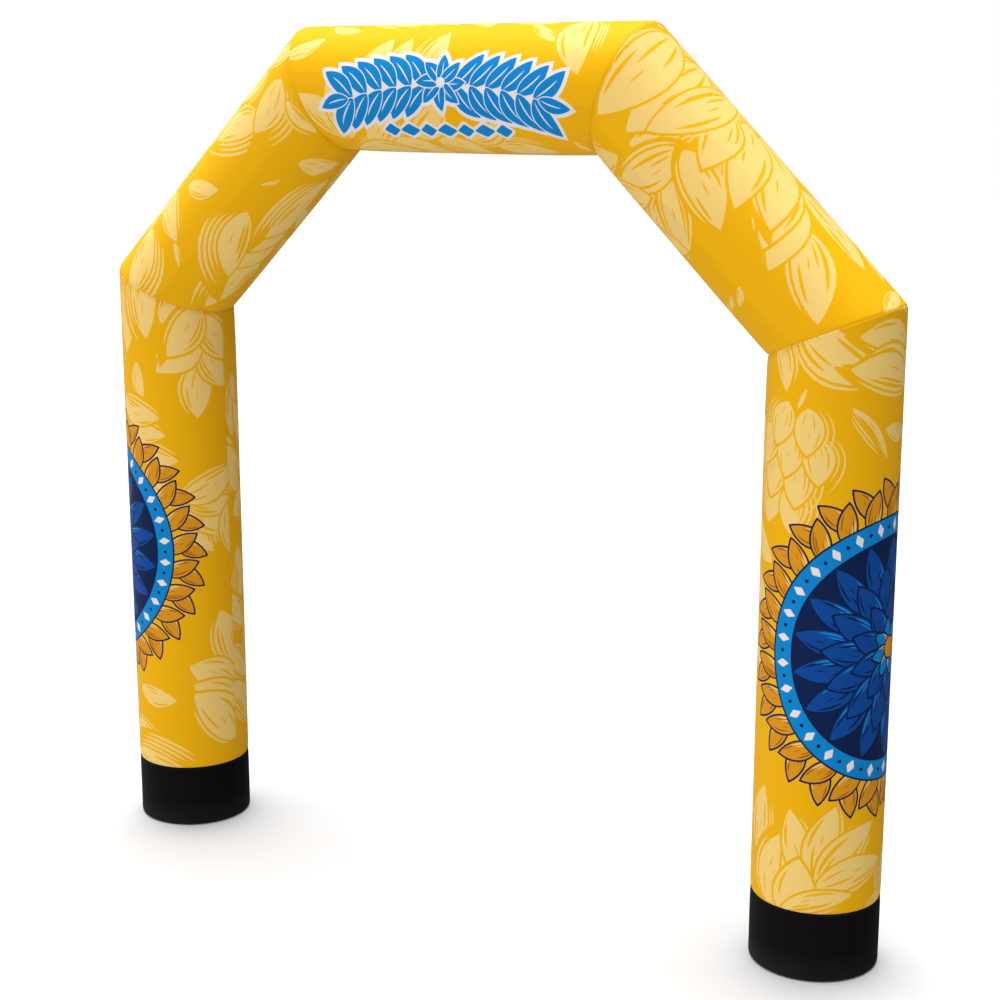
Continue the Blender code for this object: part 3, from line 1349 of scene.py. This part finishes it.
class Finish(Nodes):
    """A material under construction, with a bare Principled shader."""

    def __init__(self, name: str) -> None:
        """Start the material.

        Args:
            name: The material's name.
        """
        self.material = bpy.data.materials.new(name)
        self.material.use_nodes = True
        super().__init__(self.material.node_tree)
        self.surface = self.tree.nodes["Principled BSDF"]

    def noise(self, place: Value, scale: float, detail: float = 2.0) -> Value:
        """Return a noise texture's value, from 0 to 1."""
        return self.node("ShaderNodeTexNoise", {}, {"Vector": place, "Scale": scale, "Detail": detail})

    def object_place(self) -> Value:
        """Return the place in the object's own coordinates, in metres."""
        return self.node("ShaderNodeTexCoord", output="Object")

    def colour(self, red: float, green: float, blue: float) -> Value:
        """Return a plain linear colour.

        Args:
            red: Its red.
            green: Its green.
            blue: Its blue.

        Returns:
            The colour's socket.
        """
        plain = self.node("ShaderNodeRGB")
        plain.socket.default_value = (red, green, blue, 1.0)
        return plain

    def pattern_place(self) -> tuple[Value, Value]:
        """Return the place round and along the tube, in metres of cloth.

        Returns:
            The two places.
        """
        place = self.node("ShaderNodeUVMap", {"uv_map": "cloth"})
        around = self.node("ShaderNodeSeparateXYZ", {}, [place], "X")
        return around, around.beside("Y")

    def tint(self, colour: Value, shade: Value) -> Value:
        """Multiply a colour by a grey value.

        Args:
            colour: The colour.
            shade: The grey, where 1 leaves it as it is.

        Returns:
            The shaded colour.
        """
        grey = self.node("ShaderNodeCombineColor", {}, [shade, shade, shade])
        settings = {"data_type": "RGBA", "blend_type": "MULTIPLY", "clamp_result": False}
        return self.node("ShaderNodeMix", settings, {0: 1.0, 6: colour, 7: grey}, 2)

    def blend(self, share: Value, first: object, second: object) -> Value:
        """Mix two colours."""
        settings = {"data_type": "RGBA", "blend_type": "MIX"}
        return self.node("ShaderNodeMix", settings, {0: share, 6: first, 7: second}, 2)

    def bump(self, height: Value, distance: float, strength: float) -> Value:
        """Return a normal that a height bends."""
        values = {"Strength": strength, "Distance": distance, "Height": height}
        return self.node("ShaderNodeBump", {}, values)

    def dress(self, sockets: dict[str, object]) -> bpy.types.Material:
        """Feed the Principled shader's sockets by name.

        Args:
            sockets: Values by socket name.

        Returns:
            The finished material.
        """
        for name, value in sockets.items():
            self.feed(self.surface.inputs[name], value)
        return self.material


# Finishes


@dataclass(frozen=True)
class WovenCloth:
    """Plain-woven polyester: colour from the print, with weave, painted shade in the weave's hollows,
    sheen and faint creases.
    """

    name: str
    thread_pitch: float = 0.0012
    thread_relief: float = 0.00016
    roughness: float = 0.50
    sheen: float = 0.01
    gloss: float = 0.05
    mottle: float = 0.05
    dust: float = 0.0
    dust_height: float = 0.16

    SLUB_SCALE = 240.0
    CLOUD_SCALE = 1.6
    CREASE_SCALE = 7.0
    CREASE_RELIEF = 0.0012
    SLUB_RELIEF = 0.00006
    SLUB_SHADE = 0.05
    # Painted shade: how much darker the colour is in the weave's hollows
    PAINTED_WEAVE_SHADE = 0.05
    CLOUD_ROUGHNESS = 0.10
    WEAVE_ROUGHNESS = 0.05
    RELIEF_STRENGTH = 0.8
    DUST_PATCHES = (0.35, 0.75)
    DUST_COLOUR = (0.16, 0.14, 0.12, 1.0)

    def build(self) -> bpy.types.Material:
        """Build the material.

        Returns:
            The finished material.
        """
        shader = Finish(self.name)
        around, along = shader.pattern_place()
        place = shader.object_place()
        ink = shader.node("ShaderNodeAttribute", {"attribute_name": "ink"}, (), "Color")

        turns = math.pi / self.thread_pitch
        weave = 0.5 + 0.5 * ((around * turns).sine() * (along * turns).sine())
        slub = shader.noise(place, self.SLUB_SCALE, 1.0)
        cloud = shader.noise(place, self.CLOUD_SCALE, 3.0)
        crease = shader.noise(place, self.CREASE_SCALE, 2.0)

        # The colour varies at random with the cloud and the slubs, and is darker where the weave dips:
        # painted shade in the weave's hollows
        shade = 1.0 - self.mottle + self.mottle * cloud + self.SLUB_SHADE * slub
        shade = shade - self.PAINTED_WEAVE_SHADE * (1.0 - weave)
        colour = shader.tint(ink, shade)
        if self.dust:
            height = shader.node("ShaderNodeSeparateXYZ", {}, [place], "Z")
            low = 1.0 - height.within(0.0, self.dust_height)
            dusty = low * cloud.within(*self.DUST_PATCHES) * self.dust
            colour = shader.blend(dusty, colour, self.DUST_COLOUR)

        relief = weave * self.thread_relief + crease * self.CREASE_RELIEF + slub * self.SLUB_RELIEF
        rough = self.roughness + self.CLOUD_ROUGHNESS * cloud - self.WEAVE_ROUGHNESS * weave
        return shader.dress(
            {
                "Base Color": colour,
                "Roughness": rough,
                "Normal": shader.bump(relief, 1.0, self.RELIEF_STRENGTH),
                "Specular IOR Level": self.gloss,
                "Sheen Weight": self.sheen,
                "Sheen Roughness": 0.5,
            }
        )


@dataclass(frozen=True)
class SewingThread:
    """Twisted polyester thread."""

    name: str
    colour: tuple[float, float, float]
    ply_pitch: float = 0.0011
    ply_relief: float = 0.0002
    speck_scale: float = 300.0
    shades: Pair = (0.82, 0.30)
    roughness: Pair = (0.40, 0.15)

    def build(self) -> bpy.types.Material:
        """Build the material.

        Returns:
            The finished material.
        """
        shader = Finish(self.name)
        place = shader.object_place()
        speck = shader.noise(place, self.speck_scale, 1.0)
        base = shader.colour(*self.colour)
        wave = shader.node(
            "ShaderNodeTexWave",
            {"bands_direction": "DIAGONAL"},
            {"Vector": place, "Scale": 0.5 / self.ply_pitch / math.pi, "Distortion": 0.6},
        )
        return shader.dress(
            {
                "Base Color": shader.tint(base, self.shades[0] + self.shades[1] * speck),
                "Roughness": self.roughness[0] + self.roughness[1] * speck,
                "Normal": shader.bump(wave, self.ply_relief, 0.6),
                "Sheen Weight": 0.10,
            }
        )


# Building the pieces


def show(name: str, data: bpy.types.ID) -> bpy.types.Object:
    """Return a new object in the scene that shows a mesh, lamp or camera.

    Args:
        name: The object's name.
        data: What it shows.

    Returns:
        The object.
    """
    shown = bpy.data.objects.new(name, data)
    bpy.context.scene.collection.objects.link(shown)
    return shown


def new_piece(name: str, mesh: bpy.types.Mesh) -> bpy.types.Object:
    """Show a finished mesh as a piece that rides on the arch's one body.

    Args:
        name: The piece's name.
        mesh: Its finished mesh.

    Returns:
        The piece.
    """
    piece = show(name, mesh)
    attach(piece, "root")
    LOG.info("%s: %d points, %d faces", name, len(mesh.vertices), len(mesh.polygons))
    return piece


@dataclass
class ClothTube:
    """A cloth tube that stands for one node of the model."""

    tube: Tube
    slot: str
    material: bpy.types.Material
    art: Artwork
    ground: Ink
    fill: float

    # The bake map's margin, the size of the side on it, and its two discs
    MAP_MARGIN = 0.004
    MAP_SIZE = (0.926, 0.992)
    DISC_PLACE = (0.968, 0.03)
    DISC_PITCH = 0.08
    DISC_RADIUS = 0.024
    # The place of each triangle of an end on the cloth's map
    END_CORNERS = ((0.0, 0.0), (0.01, 0.0), (0.0, 0.01))

    def build(self) -> bpy.types.Object:
        """Cut, roll and close the tube, and dress it.

        Returns:
            The piece.
        """
        pattern = Pattern(self.tube, shapes=self.art.shapes, ground=self.ground)
        mesh = self._mesh(weld_long_seam(*pattern.cut()))
        piece = new_piece(f"{self.tube.name}_cloth", mesh)
        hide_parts(self.tube.name)
        return piece

    def _mesh(self, cloth: Cloth) -> bpy.types.Mesh:
        """Make the closed mesh, with its maps, inks and smooth normals.

        Args:
            cloth: The cut cloth, joined along the long seam.

        Returns:
            The mesh.
        """
        rims = cloth.rims()
        for end, ring in enumerate(rims):
            cloth.points[ring, 1] = self.tube.flat_end(end, cloth.points[ring, 0])
        around, along = cloth.points.T
        places = self.tube.roll(around, along)
        normals = self.tube.normals(around, along)
        order = -1 if self.tube.turned_over else 1
        faces = [face[::order] for face in cloth.faces]
        maps = [
            (place, along[index])
            for face, round_face in zip(cloth.faces, cloth.around, strict=True)
            for place, index in list(zip(round_face, face, strict=True))[::order]
        ]
        side = np.array(maps)
        corner_normals = [normals[index] for face in faces for index in face]
        inks = list(cloth.inks)
        for end, ring in enumerate(rims):
            places = np.concatenate([places, places[ring].mean(axis=0)[None, :]])
            outward = self.tube.ends[end].normal * (2 * end - 1)
            for here, there in zip(ring, ring[1:] + ring[:1], strict=True):
                faces.append((there, here, len(places) - 1)[::order])
                inks.append(self.ground)
                maps += self.END_CORNERS
                corner_normals += [outward] * 3

        mesh = bpy.data.meshes.new(f"{self.tube.name}_cloth")
        mesh.from_pydata(places.tolist(), [], faces)
        mesh.materials.append(self.material)
        for name, spread in (("cloth", np.array(maps)), ("OFBake", self._spread(side, rims))):
            layer = mesh.uv_layers.new(name=name)
            layer.data.foreach_set("uv", spread.astype(np.float32).ravel())
        ink = mesh.attributes.new("ink", "FLOAT_COLOR", "FACE")
        colours = np.array([(*value.value, 1.0) for value in inks], dtype=np.float32)
        ink.data.foreach_set("color", colours.ravel())
        mesh.shade_smooth()
        mesh.normals_split_custom_set([tuple(normal) for normal in corner_normals])
        mesh.update()
        return mesh

    def _spread(self, side: np.ndarray, rims: list[list[int]]) -> np.ndarray:
        """Lay the cloth out square beside its two end discs, with no overlaps.

        Args:
            side: Places round and along the tube, for each corner of its side.
            rims: The rings of points round its two ends.

        Returns:
            Places within a unit square, for each corner of the side and the ends.
        """
        bottom, top = (self.tube.flat_end(end, side[:, 0]) for end in (0, 1))
        share = (side[:, 1] - bottom) / (top - bottom)
        around = side[:, 0] / (2 * HALF_ROUND) + 0.5
        wide, high = self.MAP_SIZE
        laid = [paired(self.MAP_MARGIN + wide * around, self.MAP_MARGIN + high * share)]
        for end, ring in enumerate(rims):
            centre = np.array(self.DISC_PLACE) + (0.0, self.DISC_PITCH * end)
            turn = 2 * math.pi * np.arange(len(ring) + 1) / len(ring)
            rim = centre + self.DISC_RADIUS * paired(np.cos(turn), np.sin(turn))
            middle = np.repeat(centre[None, :], len(ring), axis=0)
            laid.append(np.stack([rim[1:], rim[:-1], middle], axis=1).reshape(-1, 2))
        return np.concatenate(laid)


# Stitches

GUIDE_POINTS = 221
GUIDE_STEP = 0.02


@dataclass(frozen=True)
class StitchLine:
    """A line of stitches on one tube, between places on its pattern."""

    tube: Tube
    around: np.ndarray
    along: np.ndarray

    def guide(self) -> tuple[np.ndarray, np.ndarray]:
        """Return the line's points in space and the cloth's normals there."""
        places = self.tube.roll(self.around, self.along)
        return places, self.tube.normals(self.around, self.along)


def round_line(tube: Tube, end: int, distance: float, margin: float = 0.004) -> StitchLine:
    """Return a line of stitches beside the seam at one end of a tube.

    Args:
        tube: The tube.
        end: 0 for its low end and 1 for its high one.
        distance: The line's distance from the seam.
        margin: What it keeps clear of the long seam.

    Returns:
        The line.
    """
    around = np.linspace(-HALF_ROUND + margin, HALF_ROUND - margin, GUIDE_POINTS)
    edge = tube.flat_end(end, around)
    return StitchLine(tube, around, edge + (distance if end == 0 else -distance))


def long_lines(tube: Tube, distance: float, margin: float = 0.012) -> list[StitchLine]:
    """Return the lines of stitches on both sides of a tube's long seam.

    Args:
        tube: The tube.
        distance: The lines' distance from the long seam.
        margin: What they keep clear of the tube's ends.

    Returns:
        The two lines.
    """
    lines = []
    for side in (1.0, -1.0):
        place = np.array([side * (HALF_ROUND - distance)])
        low = float(tube.flat_end(0, place)[0]) + margin
        high = float(tube.flat_end(1, place)[0]) - margin
        along = np.linspace(low, high, max(2, round((high - low) / GUIDE_STEP)))
        lines.append(StitchLine(tube, np.full_like(along, place[0]), along))
    return lines


@dataclass(frozen=True)
class Stitching:
    """Lockstitches laid along guide lines by a node tree."""

    name: str
    material: bpy.types.Material
    slot: str
    pitch: float = 0.0072
    length: float = 0.0056
    thickness: float = 0.0014
    sides: int = 5
    rings: int = 3
    shortest: float = 0.9
    longest: float = 1.06
    seed: int = 7

    def _tree(self) -> bpy.types.NodeTree:
        """Build the tree that lays one stitch at every pitch of the lines.

        Returns:
            The tree.
        """
        tree = bpy.data.node_groups.new(f"{self.name}_tree", "GeometryNodeTree")
        tree.interface.new_socket("Geometry", in_out="OUTPUT", socket_type="NodeSocketGeometry")
        kinds = {"Geometry": "Geometry", "Pitch": "Float", "Length": "Float"}
        kinds |= {"Thickness": "Float", "Thread": "Material"}
        for name, kind in kinds.items():
            tree.interface.new_socket(name, in_out="INPUT", socket_type=f"NodeSocket{kind}")

        nodes = Nodes(tree)
        given = nodes.node("NodeGroupInput", output="Geometry")
        curve = nodes.node("GeometryNodeMeshToCurve", {}, {"Mesh": given})
        spaced = {"Curve": curve, "Length": given.beside("Pitch")}
        points = nodes.node("GeometryNodeCurveToPoints", {"mode": "LENGTH"}, spaced, "Points")
        vector = {"data_type": "FLOAT_VECTOR"}
        outward = nodes.node("GeometryNodeInputNamedAttribute", vector, {"Name": "outward"})
        turn = nodes.node(
            "FunctionNodeAxesToRotation",
            {"primary_axis": "Z", "secondary_axis": "X"},
            {"Primary Axis": outward, "Secondary Axis": points.beside("Tangent")},
        )
        form = {"Segments": self.sides, "Rings": self.rings, "Radius": 0.5}
        stitch = nodes.node("GeometryNodeMeshUVSphere", {}, form, "Mesh")
        spread = {"Min": self.shortest, "Max": self.longest, "Seed": self.seed}
        share = nodes.node("FunctionNodeRandomValue", {"data_type": "FLOAT"}, spread, 1)
        length, thickness = given.beside("Length") * share, given.beside("Thickness")
        size = nodes.node("ShaderNodeCombineXYZ", {}, (length, thickness, thickness))
        places = {"Points": points, "Instance": stitch, "Rotation": turn, "Scale": size}
        laid = nodes.node("GeometryNodeInstanceOnPoints", {}, places)
        real = nodes.node("GeometryNodeRealizeInstances", {}, {"Geometry": laid})
        worn = {"Geometry": real, "Material": given.beside("Thread")}
        dressed = nodes.node("GeometryNodeSetMaterial", {}, worn)
        nodes.feed(tree.nodes.new("NodeGroupOutput").inputs["Geometry"], dressed)
        return tree

    def build(self, lines: Sequence[StitchLine]) -> bpy.types.Object:
        """Lay the stitches along the lines.

        Args:
            lines: The guide lines.

        Returns:
            The piece.
        """
        places, normals, edges = [], [], []
        for line in lines:
            first = sum(len(part) for part in places)
            line_places, line_normals = line.guide()
            places.append(line_places)
            normals.append(line_normals)
            last = first + len(line_places) - 1
            edges += [(index, index + 1) for index in range(first, last)]
        mesh = bpy.data.meshes.new(f"{self.name}_guide")
        mesh.from_pydata(np.concatenate(places).tolist(), edges, [])
        outward = mesh.attributes.new("outward", "FLOAT_VECTOR", "POINT")
        outward.data.foreach_set("vector", np.concatenate(normals).ravel())
        guide = show(f"{self.name}_guide", mesh)

        tree = self._tree()
        modifier = guide.modifiers.new("stitches", "NODES")
        modifier.node_group = tree
        sizes = {"Pitch": self.pitch, "Length": self.length, "Thickness": self.thickness}
        sizes["Thread"] = self.material
        for item in tree.interface.items_tree:
            if item.in_out == "INPUT" and item.name in sizes:
                modifier[item.identifier] = sizes[item.name]
        graph = bpy.context.evaluated_depsgraph_get()
        made = bpy.data.meshes.new_from_object(guide.evaluated_get(graph))
        guide.modifiers.clear()
        bpy.data.objects.remove(guide, do_unlink=True)
        made.name = self.name
        made.shade_smooth()
        return new_piece(self.name, made)


# The arch and the studio


@dataclass
class Tubes:
    """Tubes sewn from one cloth: the printed ones of the arch, or its black feet."""

    cloth: WovenCloth
    spans: dict[str, tuple[int, int]]
    tables: dict[str, tuple[Motif, ...]] = field(default_factory=dict)
    ground: Ink = Ink.GOLD
    fill: float = 1.0
    seed: int = 11

    def build(self) -> dict[str, Tube]:
        """Build every tube.

        Returns:
            Each tube's form, by its name.
        """
        material = self.cloth.build()
        tubes = {}
        for number, (name, (low, high)) in enumerate(self.spans.items()):
            art = Artwork(self.seed + number)
            art.draw(self.tables.get(name, ()))
            if name.startswith("leg"):
                Rosette().draw(art)
            if name == "beam":
                Frieze().draw(art)
            tube = tubes[name] = Tube(name, low, high)
            ClothTube(tube, self.cloth.name, material, art, self.ground, self.fill).build()
        return tubes


@dataclass
class Seams:
    """The rows of stitches beside every seam."""

    near: float = 0.010
    far: float = 0.019
    beside: float = 0.009

    def build(self, printed: dict[str, Tube], feet: dict[str, Tube]) -> None:
        """Stitch the printed tubes to each other and to the feet.

        Args:
            printed: The printed tubes' forms, by name.
            feet: The feet's forms, by name.
        """
        gold = SewingThread("gold_thread", (0.62, 0.30, 0.006)).build()
        black = SewingThread("black_thread", (0.016, 0.016, 0.018)).build()
        for name, tube in printed.items():
            lines = long_lines(tube, self.beside)
            if name != "beam":
                lines += [round_line(tube, 1, away) for away in (self.near, self.far)]
            if name.startswith("leg"):
                lines.append(round_line(tube, 0, self.near))
            Stitching(f"{name}_stitches", gold, "printed_cloth").build(lines)
        for name, tube in feet.items():
            lines = [round_line(tube, 1, self.near), *long_lines(tube, self.beside, 0.03)]
            Stitching(f"{name}_stitches", black, "black_cloth").build(lines)


@dataclass
class Studio:
    """The pale floor, the soft light and the camera at the photograph's angle."""

    camera_place: tuple[float, float, float] = (5.435, -9.060, 4.663)
    camera_yaw: float = 30.17
    camera_pitch: float = 12.58
    lens: float = 67.42
    sensor: float = 36.0
    sight: float = 300.0
    floor_size: float = 120.0
    floor_grey: float = 0.65
    floor_grain: Pair = (0.99, 0.02)
    floor_roughness: float = 0.9
    overhead: float = 4.50
    overhead_softness: float = 44.0
    overhead_lean: Pair = (9.8, 127.3)
    ambient: float = 0.69
    ambient_slopes: tuple[float, float, float] = (-0.205, -0.496, -0.220)

    def build(self) -> None:
        """Build the studio."""
        self._camera()
        self._floor()
        self._light()
        scene = bpy.context.scene
        scene.view_settings.view_transform = "Standard"
        scene.view_settings.look = "None"

    def _camera(self) -> None:
        """Place the camera."""
        data = bpy.data.cameras.new("camera")
        data.lens = self.lens
        data.sensor_width = self.sensor
        data.clip_end = self.sight
        camera = show("camera", data)
        camera.location = self.camera_place
        pitch = math.radians(90.0 - self.camera_pitch)
        camera.rotation_euler = Euler((pitch, 0.0, math.radians(self.camera_yaw)))
        bpy.context.scene.camera = camera

    def _floor(self) -> None:
        """Lay the floor, which takes shadows but throws no light back."""
        half = self.floor_size / 2
        mesh = bpy.data.meshes.new("floor")
        corners = [(-half, -half, 0), (half, -half, 0), (half, half, 0), (-half, half, 0)]
        mesh.from_pydata(corners, [], [(0, 1, 2, 3)])
        shader = Finish("floor_paint")
        grain = shader.noise(shader.object_place(), 2.0, 2.0)
        even, change = self.floor_grain
        base = shader.colour(self.floor_grey, self.floor_grey, self.floor_grey)
        colour = shader.tint(base, even + change * grain)
        paint = {"Base Color": colour, "Roughness": self.floor_roughness}
        mesh.materials.append(shader.dress(paint))
        floor = show("floor", mesh)
        floor.visible_diffuse = False
        floor.visible_glossy = False

    def _light(self) -> None:
        """Hang the overhead softbox and set the light all round."""
        data = bpy.data.lights.new("overhead", "SUN")
        data.energy = self.overhead
        data.angle = math.radians(self.overhead_softness)
        lamp = show("overhead", data)
        lean, bearing = (math.radians(value) for value in self.overhead_lean)
        towards = Vector((math.cos(bearing), math.sin(bearing), 1.0 / math.tan(lean)))
        lamp.rotation_euler = towards.to_track_quat("Z", "Y").to_euler()

        world = bpy.data.worlds.new("studio")
        world.use_nodes = True
        bpy.context.scene.world = world
        sky = Nodes(world.node_tree)
        place = sky.node("ShaderNodeTexCoord", output="Generated")
        east = sky.node("ShaderNodeSeparateXYZ", {}, [place], "X")
        glow = self.ambient
        for axis, slope in zip("XYZ", self.ambient_slopes, strict=True):
            glow = glow + slope * east.beside(axis)
        white = (1.0, 1.0, 1.0, 1.0)
        lit = sky.node("ShaderNodeBackground", {}, {"Color": white, "Strength": glow})
        plain = sky.node("ShaderNodeBackground", {}, {"Color": white, "Strength": 1.0})
        seen = sky.node("ShaderNodeLightPath", output="Is Camera Ray")
        both = sky.node("ShaderNodeMixShader", {}, [seen, lit, plain])
        sky.feed(sky.tree.nodes["World Output"].inputs["Surface"], both)


def main() -> None:
    """Build the studio, the tubes and the seams."""
    logging.basicConfig(level=logging.INFO, format="%(name)s: %(message)s")
    Studio().build()
    spans = {
        "leg_left": (1, 2),
        "diagonal_left": (2, 3),
        "beam": (3, 4),
        "diagonal_right": (5, 4),
        "leg_right": (6, 5),
    }
    tables = {
        "leg_left": LEG_LEFT_PRINT,
        "diagonal_left": DIAGONAL_LEFT_PRINT,
        "beam": BEAM_PRINT,
        "diagonal_right": DIAGONAL_RIGHT_PRINT,
        "leg_right": LEG_RIGHT_PRINT,
    }
    printed = Tubes(WovenCloth("printed_cloth"), spans, tables).build()
    black = WovenCloth("black_cloth", 0.0016, roughness=0.62, sheen=0.0, gloss=0.05, dust=0.10)
    foot_spans = {"foot_left": (0, 1), "foot_right": (7, 6)}
    feet = Tubes(black, foot_spans, ground=Ink.BLACK, fill=0.95).build()
    Seams().build(printed, feet)


if __name__ == "__main__":
    main()
